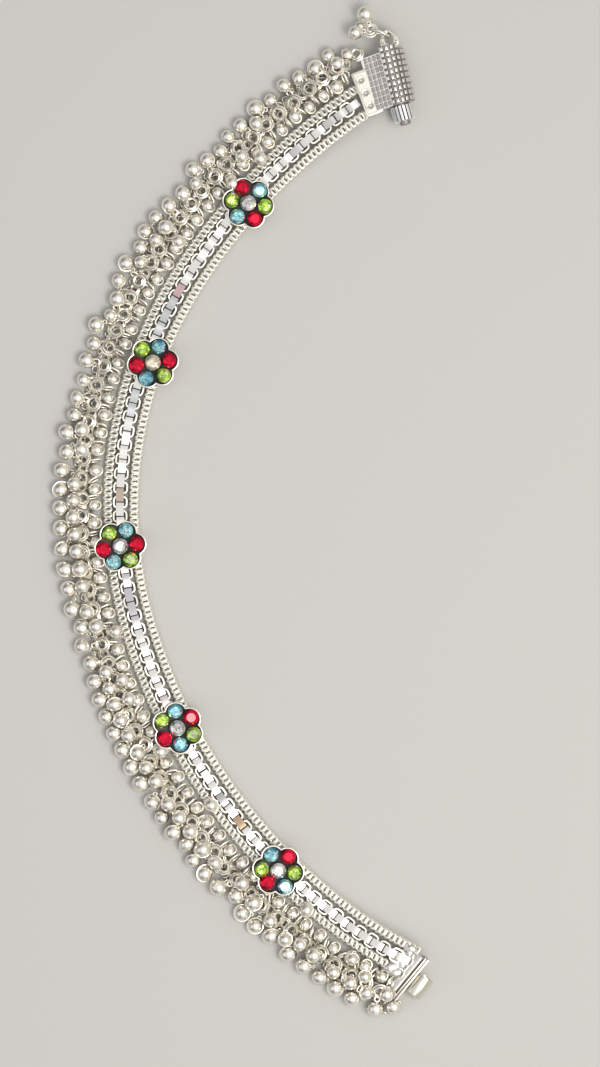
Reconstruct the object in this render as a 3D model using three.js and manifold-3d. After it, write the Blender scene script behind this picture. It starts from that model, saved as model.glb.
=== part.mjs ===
// A silver anklet lying open and face up: three chains side by side, a fringe of small hollow
// balls along their outer side, five stone-set flowers on top, and a barrel-and-screw clasp
// whose barrel is at one end and whose tongue is at the other. Millimetres, +Z up; the anklet
// rests on z = 0 and the origin is under the middle of its bounding box.
import * as THREE from 'three';
import { mergeVertices } from 'three/addons/utils/BufferGeometryUtils.js';
import Module from 'manifold-3d';

const wasm = await Module();
wasm.setup();

// ---- Driving dimensions ----

// The inner edge of the band, from the clasp end: arcs that all turn left.
const START = { x: 49.5, y: 105.45, heading: 204.4 };
const BENDS = [
  { length: 81.3, radius: 138.0 },
  { length: 81.3, radius: 97.1 },
  { length: 81.3, radius: 131.1 },
  { length: 81.3, radius: 108.9 },
];
const SEAT_GAP = 0.3;

// The chain ends are lifted off the table by the clasp parts that they are soldered to.
const BARREL_LIFT = { height: 2.2, from: 50, to: 23 };
const TONGUE_LIFT = { height: 1.5, from: 241, to: 264 };

// Strands, each given by its middle's distance out from the inner edge.
const CHAINS = [
  { name: 'inner_edge_chain', out: 1.45, width: 2.7, height: 2.0, start: 23.1, end: 265.6 },
  { name: 'box_chain', out: 4.6, width: 3.0, height: 2.7, start: 22.4, end: 264.6 },
  { name: 'outer_edge_chain', out: 7.75, width: 2.7, height: 2.0, start: 21.7, end: 263.8 },
];
const CHAIN_STEP = 10;
const CHAIN_CHAMFER = 0.45;

// The fringe: wire stems with one small ball each, rings between them, and bunches of balls
// outside the rings. Rings and bunches go on past the first and last stem.
const STEMS = 60;
const FIRST_STEM = 24.7;
const STEM_PITCH = 4.0;
const BALL_ROW = { out: 11.0, radius: 1.45, neck: 0.4, lift: 0.8, flat: 0.45 };
const RING_ROW = { out: 14.25, halfWidth: 1.6, halfHeight: 0.9, neck: 0.4, lift: 0.6, flat: 0.6 };
const BUNCH_ROW = { out: 18.25, halfWidth: 2.0, halfHeight: 1.75, neck: 0.8, lift: 0.15, flat: 0.45 };
const LOBE_SIDES = 6;
const FRINGE_SECTIONS = 4;

// Flowers: a scalloped tray on the chains with six stones round one in the middle.
const FLOWERS = [
  { along: 57.4, out: 3.6, turn: 109.9, order: ['red', 'blue', 'green'] },
  { along: 101.0, out: 2.8, turn: 8.4, order: ['red', 'green', 'blue'] },
  { along: 144.3, out: 4.9, turn: 8.7, order: ['red', 'green', 'blue'] },
  { along: 188.5, out: 4.6, turn: 38.5, order: ['red', 'green', 'blue'] },
  { along: 228.9, out: 5.4, turn: 52.2, order: ['red', 'green', 'blue'] },
];
const TRAY = { base: 3.0, height: 2.0, floor: 0.5, wall: 0.35, lobes: 6, lobeCentre: 3.5, lobeRadius: 2.8 };
const LOBE_STEPS = 4;
const STONE = { ring: 4.1, radius: 1.6, table: 0.95, culet: 0.3, pavilion: 1.25, crown: 0.75, sides: 8 };

// Clasp barrel, measured from the point of the band's inner edge at its plate.
const CLASP_AT = 21.6;
const PLATE = { x: -2.1, y: -5.4, width: 4.2, length: 11.1, bottom: 2.2, thickness: 2.0, lean: 12.5 };
const BARREL = { x: -9.18, y: -4.8, length: 13.1, lean: 17.6, axis: 3.4, knuckle: 3.35, bore: 1.65 };
const COVER = {
  inner: { radius: 3.75, centre: 3.4 },
  outer: { radius: 4.55, centre: 2.6 },
  wall: 0.6,
  from: 50,
  to: 190,
  reach: 5.9,
  end: 3.9,
};
const COVER_STEPS = 9;
const BELLY = { from: 205, to: 285, steps: 4, web: [5.4, 2.45] };
const SLOT = { from: -3.1, to: 2.9, side: 2.75, shoulder: 4.6, open: -8 };
const SCREW = { shank: 1.3, inset: 0.8, head: 2.6, groove: 2.3, headLength: 3.7, flutes: 12 };
const BUTTON = { radius: 1.3, length: 0.9 };
const EYE = { x: -1.9, y: -8.75, halfWidth: 1.8, halfLength: 2.8, wall: 0.95, bottom: 3.5, thickness: 1.0 };

// The upright link through the eye, the two-turn ring on it and the ring's balls, in the
// barrel's own directions.
const LINK = { x: 0, y: -11.31, heading: -39.4, radius: 2.27, wire: 0.3, z: 4.0 };
const COIL = { x: 2.06, y: -12.7, radius: 1.25, wire: 0.42, z: 4.2, rise: 0.75 };
const CHARM_BALLS = [
  { x: 2.17, y: -16.56, z: 4.4, radius: 2.05 },
  { x: 5.67, y: -12.93, z: 4.5, radius: 1.75 },
  { x: 3.98, y: -14.34, z: 1.55, radius: 1.5 },
];

// Tongue, measured from the point of the band's inner edge at its end plate.
const TONGUE_AT = 266.4;
const TONGUE_LEAN = 13;
const CAP_OUTLINE = [
  [-0.3, -1.3],
  [2.4, -2.2],
  [0.3, -13.3],
  [-1.3, -11.4],
  [-2.3, -9.0],
];
const CAP = { bottom: 1.4, thickness: 2.0 };
const END_PLATE = { x: 1.56, y: -8.16, thickness: 0.85, length: 12.6, bottom: 0.3, height: 4.8 };
const CATCH = { offset: 2.55, shift: 0.1, radius: 2.3, bore: 1.7, width: 5.3, axis: 2.7 };

const ROUND_STEPS = 16;

// ---- Finishes ----

const silver = (name, color, roughness) =>
  new THREE.MeshStandardMaterial({ name, color, roughness, metalness: 1 });
const glass = (name, color) =>
  new THREE.MeshStandardMaterial({ name, color, roughness: 0.05, metalness: 0 });

const FINISH = {
  chain: silver('chain_silver', 0xcfc8b8, 0.35),
  ball: silver('ball_silver', 0xd6d2cc, 0.22),
  clasp: silver('clasp_silver', 0xd8d3c8, 0.32),
  tray: silver('tray_silver', 0xb9b2a4, 0.4),
  red: glass('red_stone', 0xc00028),
  green: glass('green_stone', 0x86b82c),
  blue: glass('blue_stone', 0x4aa6c8),
  clear: glass('clear_stone', 0xe6e6e6),
};

// ---- Geometry helpers ----

const rad = THREE.MathUtils.degToRad;

// A closed solid through rings of equal point counts. Each ring runs counter-clockwise as seen
// from ahead of the direction of travel, and each end is closed by a fan about its middle.
function loft(rings) {
  const count = rings[0].length;
  const positions = rings.flat(2);
  const index = [];
  for (let k = 0; k < rings.length - 1; k += 1) {
    for (let i = 0; i < count; i += 1) {
      const next = (i + 1) % count;
      const a = k * count + i;
      const b = k * count + next;
      index.push(a, b, b + count, a, b + count, a + count);
    }
  }
  for (const [k, turn] of [[0, -1], [rings.length - 1, 1]]) {
    const middle = positions.length / 3;
    for (const axis of [0, 1, 2]) {
      positions.push(rings[k].reduce((sum, point) => sum + point[axis], 0) / count);
    }
    for (let i = 0; i < count; i += 1) {
      const a = k * count + i;
      const b = k * count + ((i + 1) % count);
      index.push(middle, turn > 0 ? a : b, turn > 0 ? b : a);
    }
  }
  const geometry = new THREE.BufferGeometry();
  geometry.setAttribute('position', new THREE.Float32BufferAttribute(positions, 3));
  geometry.setIndex(index);
  return geometry;
}

function toSolid(geometry) {
  const bare = geometry.clone();
  bare.deleteAttribute('normal');
  bare.deleteAttribute('uv');
  const merged = mergeVertices(bare, 1e-4);
  return new wasm.Manifold(new wasm.Mesh({
    numProp: 3,
    vertProperties: new Float32Array(merged.attributes.position.array),
    triVerts: new Uint32Array(merged.index.array),
  }));
}

function toGeometry(solid) {
  const mesh = solid.getMesh();
  const geometry = new THREE.BufferGeometry();
  geometry.setAttribute('position', new THREE.Float32BufferAttribute(mesh.vertProperties, 3));
  geometry.setIndex(new THREE.Uint32BufferAttribute(mesh.triVerts, 1));
  return geometry;
}

function ellipse(halfWidth, halfHeight, sides) {
  return Array.from({ length: sides }, (_, i) => {
    const angle = ((i + 0.5) / sides) * Math.PI * 2;
    return [Math.cos(angle) * halfWidth, Math.sin(angle) * halfHeight];
  });
}

// A tube with a round bore, its axis along +Y and its middle at the origin.
function tube(radius, bore, length) {
  const half = length / 2;
  const profile = [[bore, -half], [radius, -half], [radius, half], [bore, half], [bore, -half]];
  return new THREE.LatheGeometry(profile.map(([r, y]) => new THREE.Vector2(r, y)), ROUND_STEPS);
}

function slab(outline, bottom, thickness, holes = []) {
  const shape = new THREE.Shape(outline.map(([x, y]) => new THREE.Vector2(x, y)));
  for (const hole of holes) {
    shape.holes.push(new THREE.Path(hole.map(([x, y]) => new THREE.Vector2(x, y))));
  }
  const geometry = new THREE.ExtrudeGeometry(shape, { depth: thickness, bevelEnabled: false });
  return geometry.translate(0, 0, bottom);
}

function place(geometry, { x, y, z = 0, turn = 0 }) {
  return geometry.rotateZ(rad(turn)).translate(x, y, z);
}

const part = new THREE.Group();

function addPiece(parent, name, geometry, material) {
  const mesh = new THREE.Mesh(geometry, material);
  mesh.name = name;
  parent.add(mesh);
  return mesh;
}

// ---- The band's own line ----

// Point and heading on the inner edge at a distance along it.
function bandAt(along) {
  let { x, y, heading } = START;
  let left = along;
  for (const bend of BENDS) {
    const step = Math.min(left, bend.length);
    const turn = step / bend.radius;
    const angle = rad(heading);
    x += bend.radius * (Math.sin(angle + turn) - Math.sin(angle));
    y += bend.radius * (Math.cos(angle) - Math.cos(angle + turn));
    heading += THREE.MathUtils.radToDeg(turn);
    left -= step;
  }
  return { x, y, heading };
}

function riseOver({ height, from, to }, along) {
  const t = THREE.MathUtils.clamp((along - from) / (to - from), 0, 1);
  return height * t * t * (3 - 2 * t);
}

function liftAt(along) {
  return riseOver(BARREL_LIFT, along) + riseOver(TONGUE_LIFT, along);
}

function bandPoint(along, out, z) {
  const { x, y, heading } = bandAt(along);
  const angle = rad(heading);
  return [x + out * Math.sin(angle), y - out * Math.cos(angle), z];
}

// A section of [inward, up] points about the strand's middle, set across the band.
function sectionAt(along, out, z, section) {
  return section.map(([inward, up]) => bandPoint(along, out - inward, z + up));
}

// ---- Chains ----

function chainSection(width, height) {
  const w = width / 2;
  const h = height / 2;
  const c = CHAIN_CHAMFER;
  const right = [[w - c, -h], [w, c - h], [w, h - c], [w - c, h]];
  const left = right.map(([x, z]) => [-x, -z]);
  return [...right, ...left];
}

for (const chain of CHAINS) {
  const steps = Math.round((chain.end - chain.start) / CHAIN_STEP);
  const section = chainSection(chain.width, chain.height);
  const rings = [];
  for (let k = 0; k <= steps; k += 1) {
    const along = chain.start + ((chain.end - chain.start) * k) / steps;
    rings.push(sectionAt(along, chain.out, chain.height / 2 + liftAt(along), section));
  }
  addPiece(part, chain.name, loft(rings), FINISH.chain);
}

// ---- Fringe rows ----

// One lobed solid through the stems from first to last, with a thin neck between lobes.
function lobedRow(row, first, last, phase, lobe, neck, lobeLength) {
  const rings = [];
  for (let i = first; i <= last; i += 1) {
    const middle = FIRST_STEM + (i + phase) * STEM_PITCH;
    for (const [offset, section] of [[-1, neck], [-row.flat, lobe], [row.flat, lobe], [1, neck]]) {
      const along = middle + offset * lobeLength;
      rings.push(sectionAt(along, row.out, row.height + row.lift * liftAt(along), section));
    }
  }
  return loft(rings);
}

// An oval with flats at its sides, widened so that the flats reach the true half width.
const lobeSection = (halfWidth, halfHeight) =>
  ellipse(halfWidth / Math.cos(Math.PI / LOBE_SIDES), halfHeight, LOBE_SIDES);

const ballRow = { ...BALL_ROW, height: BALL_ROW.radius + 0.02 };
addPiece(part, 'small_ball_row', lobedRow(
  ballRow, 0, STEMS - 1, 0,
  lobeSection(BALL_ROW.radius, BALL_ROW.radius),
  ellipse(BALL_ROW.neck, BALL_ROW.neck, LOBE_SIDES),
  BALL_ROW.radius - 0.1,
), FINISH.ball);

const ringRow = { ...RING_ROW, height: RING_ROW.halfHeight + 0.3 };
addPiece(part, 'ring_row', lobedRow(
  ringRow, -2, STEMS - 1, 0.5,
  ellipse(RING_ROW.halfWidth, RING_ROW.halfHeight, 4).map(([w, h]) => [w * Math.SQRT2, h * Math.SQRT2]),
  ellipse(RING_ROW.neck, RING_ROW.neck, 4),
  RING_ROW.halfWidth,
), FINISH.ball);

const bunchRow = { ...BUNCH_ROW, height: BUNCH_ROW.halfHeight + 0.02 };
const bunches = STEMS + 2;
for (let k = 0; k < FRINGE_SECTIONS; k += 1) {
  const first = Math.round((bunches * k) / FRINGE_SECTIONS) - 1;
  const last = Math.round((bunches * (k + 1)) / FRINGE_SECTIONS) - 2;
  addPiece(part, `ball_fringe_${k + 1}`, lobedRow(
    bunchRow, first, last, 0,
    lobeSection(BUNCH_ROW.halfWidth, BUNCH_ROW.halfHeight),
    ellipse(BUNCH_ROW.neck, BUNCH_ROW.neck, LOBE_SIDES),
    BUNCH_ROW.halfHeight,
  ), FINISH.ball);
}

// ---- Flowers and stones ----

// A scalloped outline of arcs about lobe centres, inset by a distance.
function scallop(inset, z) {
  const radius = TRAY.lobeRadius - inset;
  const spread = Math.PI / TRAY.lobes;
  const reach = Math.sqrt(radius ** 2 - (TRAY.lobeCentre * Math.sin(spread)) ** 2);
  const cusp = TRAY.lobeCentre * Math.cos(spread) + reach;
  const half = Math.atan2(cusp * Math.sin(spread), cusp * Math.cos(spread) - TRAY.lobeCentre);
  const points = [];
  for (let lobe = 0; lobe < TRAY.lobes; lobe += 1) {
    const facing = lobe * spread * 2;
    for (let i = 0; i < LOBE_STEPS; i += 1) {
      const angle = facing - half + (2 * half * i) / LOBE_STEPS;
      points.push([
        TRAY.lobeCentre * Math.cos(facing) + radius * Math.cos(angle),
        TRAY.lobeCentre * Math.sin(facing) + radius * Math.sin(angle),
        z,
      ]);
    }
  }
  return points;
}

const trayGeometry = () => loft([
  scallop(0, 0),
  scallop(0, TRAY.height),
  scallop(TRAY.wall, TRAY.height),
  scallop(TRAY.wall, TRAY.floor),
]);

// A round cut stone: small culet facet, pavilion, girdle and crown up to its table.
function stoneGeometry() {
  const ringOf = (radius, z) => ellipse(radius, radius, STONE.sides).map(([x, y]) => [x, y, z]);
  return loft([
    ringOf(STONE.culet, 0),
    ringOf(STONE.radius, STONE.pavilion),
    ringOf(STONE.table, STONE.pavilion + STONE.crown),
  ]);
}

FLOWERS.forEach((flower, f) => {
  const group = new THREE.Group();
  group.position.set(...bandPoint(flower.along, flower.out, TRAY.base));
  group.rotation.z = rad(flower.turn);
  part.add(group);
  addPiece(group, `flower_${f + 1}`, trayGeometry(), FINISH.tray);
  const seat = TRAY.floor + SEAT_GAP / 2;
  for (let i = 0; i < TRAY.lobes; i += 1) {
    const colour = flower.order[i % flower.order.length];
    const turn = -rad((360 / TRAY.lobes) * i);
    const name = `flower_${f + 1}_${colour}_${i < flower.order.length ? 1 : 2}`;
    const stone = addPiece(group, name, stoneGeometry(), FINISH[colour]);
    stone.position.set(STONE.ring * Math.cos(turn), STONE.ring * Math.sin(turn), seat);
  }
  const centre = addPiece(group, `flower_${f + 1}_clear`, stoneGeometry(), FINISH.clear);
  centre.position.z = seat;
});

// ---- Clasp barrel ----

const claspStart = bandAt(CLASP_AT);
const clasp = new THREE.Group();
clasp.position.set(claspStart.x, claspStart.y, 0);
clasp.rotation.z = rad(claspStart.heading);
part.add(clasp);

const barrel = new THREE.Group();
barrel.position.set(BARREL.x, BARREL.y, 0);
barrel.rotation.z = -rad(BARREL.lean);
clasp.add(barrel);

// The bent cover sheet runs from the plate up over the top and down the far side, and is wider
// at the outer end. These are its points at a distance along the barrel, inset by a thickness.
function coverArc(y, inset) {
  const t = y / BARREL.length + 0.5;
  const radius = THREE.MathUtils.lerp(COVER.outer.radius, COVER.inner.radius, t) - inset;
  const centre = THREE.MathUtils.lerp(COVER.outer.centre, COVER.inner.centre, t);
  return Array.from({ length: COVER_STEPS + 1 }, (_, i) => {
    const angle = rad(COVER.from + ((COVER.to - COVER.from) * i) / COVER_STEPS);
    return [radius * Math.cos(angle), y, centre + radius * Math.sin(angle)];
  });
}

// Cover sheet, knuckles and the web to the plate as one block, before the bore and the slot.
function blockRing(y) {
  const belly = Array.from({ length: BELLY.steps + 1 }, (_, i) => {
    const angle = rad(BELLY.from + ((BELLY.to - BELLY.from) * i) / BELLY.steps);
    return [BARREL.knuckle * Math.cos(angle), y, BARREL.axis + BARREL.knuckle * Math.sin(angle)];
  });
  const [webX, webZ] = BELLY.web;
  return [[COVER.reach, y, COVER.end], ...coverArc(y, 0), ...belly, [webX, y, webZ]];
}

// The space between the two knuckles that takes the catch loop, open below and on the far side.
function slotRing(y) {
  const arc = coverArc(y, COVER.wall);
  const edge = arc[arc.length - 1][2];
  const { side, shoulder, open } = SLOT;
  return [[side, y, shoulder], ...arc, [open, y, edge], [open, y, open], [side, y, open]];
}

function boreGeometry() {
  const bore = new THREE.CylinderGeometry(BARREL.bore, BARREL.bore, BARREL.length * 2, ROUND_STEPS);
  return bore.translate(0, 0, BARREL.axis);
}

// The plate is set out in the clasp's directions, so it is turned back into the barrel's.
function plateGeometry() {
  const plate = new THREE.BoxGeometry(PLATE.width, PLATE.length, PLATE.thickness);
  place(plate, { x: PLATE.x, y: PLATE.y, z: PLATE.bottom + PLATE.thickness / 2, turn: -PLATE.lean });
  return plate.translate(-BARREL.x, -BARREL.y, 0).rotateZ(rad(BARREL.lean));
}

function eyeGeometry() {
  const outline = ellipse(EYE.halfWidth, EYE.halfLength, ROUND_STEPS);
  const hole = ellipse(EYE.halfWidth - EYE.wall, EYE.halfLength - EYE.wall, ROUND_STEPS);
  return place(slab(outline, EYE.bottom, EYE.thickness, [hole]), EYE);
}

const halfBarrel = BARREL.length / 2;
const block = loft([blockRing(halfBarrel), blockRing(-halfBarrel)]);
const slot = loft([slotRing(SLOT.to), slotRing(SLOT.from)]);
const barrelSolid = toSolid(block)
  .subtract(toSolid(boreGeometry()))
  .subtract(toSolid(slot))
  .add(toSolid(plateGeometry()))
  .add(toSolid(eyeGeometry()));
addPiece(barrel, 'clasp_barrel', toGeometry(barrelSolid), FINISH.clasp);

// ---- Clasp screw ----

// Rings across the barrel's axis, from the shank's tip to the button beyond the fluted head.
function screwGeometry() {
  const headStart = halfBarrel + SEAT_GAP;
  const headEnd = headStart + SCREW.headLength;
  const ringOf = (y, crest, root) => Array.from({ length: SCREW.flutes * 2 }, (_, i) => {
    const angle = -(i / SCREW.flutes) * Math.PI;
    const radius = i % 2 ? root : crest;
    return [radius * Math.cos(angle), y, radius * Math.sin(angle)];
  });
  return loft([
    ringOf(SCREW.inset - halfBarrel, SCREW.shank, SCREW.shank),
    ringOf(headStart, SCREW.shank, SCREW.shank),
    ringOf(headStart, SCREW.head, SCREW.groove),
    ringOf(headEnd - SEAT_GAP, SCREW.head, SCREW.groove),
    ringOf(headEnd, SCREW.groove, SCREW.groove),
    ringOf(headEnd, BUTTON.radius, BUTTON.radius),
    ringOf(headEnd + BUTTON.length, BUTTON.radius, BUTTON.radius),
  ]);
}

const screw = addPiece(barrel, 'clasp_screw', screwGeometry(), FINISH.clasp);
screw.position.z = BARREL.axis;

// ---- Charm link, ring and balls ----

const link = new THREE.TorusGeometry(LINK.radius, LINK.wire, 6, ROUND_STEPS);
link.rotateX(Math.PI / 2).rotateZ(rad(LINK.heading)).translate(LINK.x, LINK.y, LINK.z);
addPiece(barrel, 'charm_link', link, FINISH.ball);

const coil = new THREE.TorusGeometry(COIL.radius, COIL.wire, 6, ROUND_STEPS);
coil.scale(1, 1, COIL.rise / COIL.wire).translate(COIL.x, COIL.y, COIL.z);
addPiece(barrel, 'charm_ring', coil, FINISH.ball);

CHARM_BALLS.forEach((ball, i) => {
  const geometry = new THREE.SphereGeometry(ball.radius, 12, 8);
  const mesh = addPiece(barrel, `charm_ball_${i + 1}`, geometry, FINISH.ball);
  mesh.position.set(ball.x, ball.y, ball.z);
});

// ---- Tongue ----

const tongueStart = bandAt(TONGUE_AT);
const tongue = new THREE.Group();
tongue.position.set(tongueStart.x, tongueStart.y, 0);
tongue.rotation.z = rad(tongueStart.heading);
part.add(tongue);

// The end plate stands across the band, and the catch loop is a rolled strip against it.
function endPlateGeometry() {
  const plate = new THREE.BoxGeometry(END_PLATE.thickness, END_PLATE.length, END_PLATE.height);
  return plate.translate(0, 0, END_PLATE.bottom + END_PLATE.height / 2);
}

function catchGeometry() {
  return tube(CATCH.radius, CATCH.bore, CATCH.width).translate(CATCH.offset, CATCH.shift, CATCH.axis);
}

const atPlate = { x: END_PLATE.x, y: END_PLATE.y, turn: -TONGUE_LEAN };
const tongueSolid = toSolid(slab(CAP_OUTLINE, CAP.bottom, CAP.thickness))
  .add(toSolid(place(endPlateGeometry(), atPlate)))
  .add(toSolid(place(catchGeometry(), atPlate)));
addPiece(tongue, 'clasp_tongue', toGeometry(tongueSolid), FINISH.clasp);

export default part;
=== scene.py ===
import math
import random
from collections import Counter

import bpy
from mathutils import Euler, Matrix, Vector


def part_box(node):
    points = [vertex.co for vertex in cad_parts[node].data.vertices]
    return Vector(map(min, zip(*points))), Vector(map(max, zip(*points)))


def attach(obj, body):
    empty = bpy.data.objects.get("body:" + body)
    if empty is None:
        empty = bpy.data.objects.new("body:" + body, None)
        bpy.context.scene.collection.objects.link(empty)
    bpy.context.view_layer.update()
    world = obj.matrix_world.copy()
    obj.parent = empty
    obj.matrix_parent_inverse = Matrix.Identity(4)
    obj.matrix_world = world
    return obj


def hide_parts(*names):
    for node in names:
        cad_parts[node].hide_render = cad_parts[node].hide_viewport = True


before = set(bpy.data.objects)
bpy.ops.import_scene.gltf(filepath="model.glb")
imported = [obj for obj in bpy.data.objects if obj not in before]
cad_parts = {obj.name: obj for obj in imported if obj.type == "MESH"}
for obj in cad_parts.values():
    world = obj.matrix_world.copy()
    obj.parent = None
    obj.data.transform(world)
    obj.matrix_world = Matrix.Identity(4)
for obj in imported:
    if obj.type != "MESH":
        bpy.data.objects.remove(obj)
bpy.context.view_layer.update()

# ---- Box chain ----
# The middle strand: square loops folded from flat silver strip, every second one turned a
# quarter round. Those standing on edge show a bright plate, those lying flat show their rim.

# The band's inner edge, in millimetres: its start and heading in degrees, then arcs that turn
# left, by length and radius. The clasp parts lift the chains by a height, from and to a distance.
MM = 0.001
BAND_START = (49.5, 105.45, 204.4)
BAND_BENDS = ((81.3, 138.0), (81.3, 97.1), (81.3, 131.1), (81.3, 108.9))
BARREL_RISE = (2.2, 50.0, 23.0)
TONGUE_RISE = (1.5, 241.0, 264.0)


def band_at(along):
    """Point, in millimetres, and heading of the band's inner edge at a distance along it."""
    x, y, heading = BAND_START[0], BAND_START[1], math.radians(BAND_START[2])
    for length, radius in BAND_BENDS:
        turn = min(along, length) / radius
        x += radius * (math.sin(heading + turn) - math.sin(heading))
        y += radius * (math.cos(heading) - math.cos(heading + turn))
        heading += turn
        along -= min(along, length)
    return x, y, heading


def lift_at(along):
    """How far the clasp parts hold a chain off the table, in millimetres."""
    lift = 0.0
    for height, start, end in (BARREL_RISE, TONGUE_RISE):
        t = min(max((along - start) / (end - start), 0.0), 1.0)
        lift += height * t * t * (3 - 2 * t)
    return lift


def beside_band(along, out, up):
    """Point, in millimetres, at a distance along the band and out from its inner edge."""
    x, y, heading = band_at(along)
    return Vector((x + out * math.sin(heading), y - out * math.cos(heading), up))


def shift(x, y, z):
    """A move along the axes."""
    return Matrix.Translation((x, y, z))


def swing(degrees, axis):
    """A turn about an axis."""
    return Matrix.Rotation(math.radians(degrees), 4, axis)


def on_band(along, out, up, turn=(0.0, 0.0, 0.0), size=(1.0, 1.0, 1.0)):
    """Where a link modelled in millimetres goes: x along the band, y inward and z up."""
    slope = lift_at(along + 0.5) - lift_at(along - 0.5)
    spot = beside_band(along, out, up + lift_at(along))
    heading = band_at(along)[2]
    lie = Euler((0.0, -math.atan(slope), heading)).to_matrix() @ Euler(turn).to_matrix()
    place = Matrix.Translation(spot * MM) @ lie.to_4x4()
    return place @ Matrix.Diagonal((*size, 1.0)) @ Matrix.Scale(MM, 4)


def let_go():
    """Nothing stays selected, so the next operator acts on new work alone."""
    if bpy.context.mode != "OBJECT":
        bpy.ops.object.mode_set(mode="OBJECT")
    bpy.ops.object.select_all(action="DESELECT")


def pick(*pieces):
    """Selects some pieces alone, the first one active."""
    let_go()
    for piece in pieces:
        piece.select_set(True)
    bpy.context.view_layer.objects.active = pieces[0]


def new_piece(add, **settings):
    """Adds a mesh primitive, the only thing selected."""
    let_go()
    add(**settings)
    return bpy.context.object


def work_on(piece, kind="FACE", test=lambda item: True):
    """Opens a piece in edit mode, with the vertices, edges or faces that pass a test selected."""
    pick(piece)
    mesh = piece.data
    parts = {"VERT": mesh.vertices, "EDGE": mesh.edges, "FACE": mesh.polygons}
    for items in parts.values():
        items.foreach_set("select", [False] * len(items))
    for item in parts[kind]:
        item.select = test(item)
    bpy.context.tool_settings.mesh_select_mode = [kind == name for name in parts]
    bpy.ops.object.mode_set(mode="EDIT")


def draw_out(x, y, z):
    """Extrudes the selected edges."""
    bpy.ops.mesh.extrude_edges_move(TRANSFORM_OT_translate={"value": (x, y, z)})


def face_outward():
    """Turns all faces of the piece in edit mode outward, and leaves edit mode."""
    bpy.ops.mesh.select_all(action="SELECT")
    bpy.ops.mesh.normals_make_consistent(inside=False)
    let_go()


def add_modifier(piece, kind, **settings):
    """Adds a modifier, sets it up and applies it."""
    pick(piece)
    modifier = piece.modifiers.new(kind.title(), kind)
    for name, value in settings.items():
        setattr(modifier, name, value)
    bpy.ops.object.modifier_apply(modifier=modifier.name)


def soften(piece, width, segments=2, angle=50.0):
    """Rounds the edges that are sharper than the angle."""
    limit = math.radians(angle)
    add_modifier(
        piece, "BEVEL", width=width, segments=segments, limit_method="ANGLE", angle_limit=limit
    )


def smooth(piece, angle=40.0):
    """Rounded shading, with edges sharper than the angle left crisp."""
    pick(piece)
    bpy.ops.object.shade_smooth_by_angle(angle=math.radians(angle))


def join(name, pieces):
    """Joins pieces into the first one."""
    pick(*pieces)
    bpy.ops.object.join()
    pieces[0].name = name
    return pieces[0]


def string(name, model, places):
    """One piece from copies of a modelled link, each with its own mesh, at the places given."""
    links = []
    for place in places:
        link = model.copy()
        link.data = model.data.copy()
        link.data.transform(place)
        bpy.context.scene.collection.objects.link(link)
        links.append(link)
    bpy.data.objects.remove(model)
    return join(name, links)


def add_node(tree, kind, values=None, **settings):
    """Adds a shading node with its settings, and with values or links for its inputs."""
    node = tree.nodes.new("ShaderNode" + kind)
    for name, value in settings.items():
        setattr(node, name, value)
    for name, value in (values or {}).items():
        if isinstance(value, bpy.types.NodeSocket):
            tree.links.new(value, node.inputs[name])
        elif isinstance(value, tuple):
            node.inputs[name].default_value = (*value, 1.0)
        else:
            node.inputs[name].default_value = value
    return node


def mixed(tree, amount, under, over, **settings):
    """The mix of two colours, each a colour or the output of another node."""
    values = {"Factor": amount, "A": under, "B": over}
    return add_node(tree, "Mix", values, data_type="RGBA", **settings).outputs["Result"]


def new_finish(name):
    """A new material, with its nodes and the shader that they feed."""
    material = bpy.data.materials.new(name)
    material.use_nodes = True
    return material, material.node_tree, material.node_tree.nodes["Principled BSDF"]


# Silver's tone changes in patches. Below the first share of open sky a hollow is all oxide and
# painted shade, and above the second it is bright. Handling marks change the roughness, down and
# up, and dent it.
PATCH_SCALE, PATCH_DETAIL, GRAIN_DETAIL = 420.0, 4.0, 2.0
SHUT_IN, OPEN_AIR = 0.1, 0.6
RUB_BELOW, RUB_ABOVE, MARK_DEPTH = 0.06, 0.1, 0.05
OXIDE_AND_SHADE = (0.12, 0.1, 0.075)


def silver(name, bright, dull, roughness, hollow, oxide_and_shade=OXIDE_AND_SHADE, grain=2600.0, relief=0.12):
    """Silver with a patchy tone and fine handling marks, dark with oxide and painted shade where it
    is shut in.
    """
    material, tree, shader = new_finish(name)
    shader.inputs["Metallic"].default_value = 1.0
    spot = add_node(tree, "TexCoord").outputs["Object"]
    patches = {"Vector": spot, "Scale": PATCH_SCALE, "Detail": PATCH_DETAIL}
    tone = mixed(tree, add_node(tree, "TexNoise", patches).outputs["Fac"], dull, bright)
    # Painted shade: ambient occlusion darkens hollows, gaps and contacts toward the oxide colour,
    # partly real oxide, partly painted shade.
    around = add_node(tree, "AmbientOcclusion", {"Distance": hollow * MM}, samples=4).outputs["AO"]
    sky = {"Value": around, "From Min": SHUT_IN, "From Max": OPEN_AIR}
    colour = mixed(tree, add_node(tree, "MapRange", sky).outputs["Result"], oxide_and_shade, tone)
    tree.links.new(colour, shader.inputs["Base Color"])
    grains = {"Vector": spot, "Scale": grain, "Detail": GRAIN_DETAIL}
    marks = add_node(tree, "TexNoise", grains).outputs["Fac"]
    rub = {"Value": marks, "To Min": roughness - RUB_BELOW, "To Max": roughness + RUB_ABOVE}
    rubbed = add_node(tree, "MapRange", rub).outputs["Result"]
    tree.links.new(rubbed, shader.inputs["Roughness"])
    dents = {"Strength": relief, "Distance": MARK_DEPTH * MM, "Height": marks}
    tree.links.new(add_node(tree, "Bump", dents).outputs["Normal"], shader.inputs["Normal"])
    return material


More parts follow.
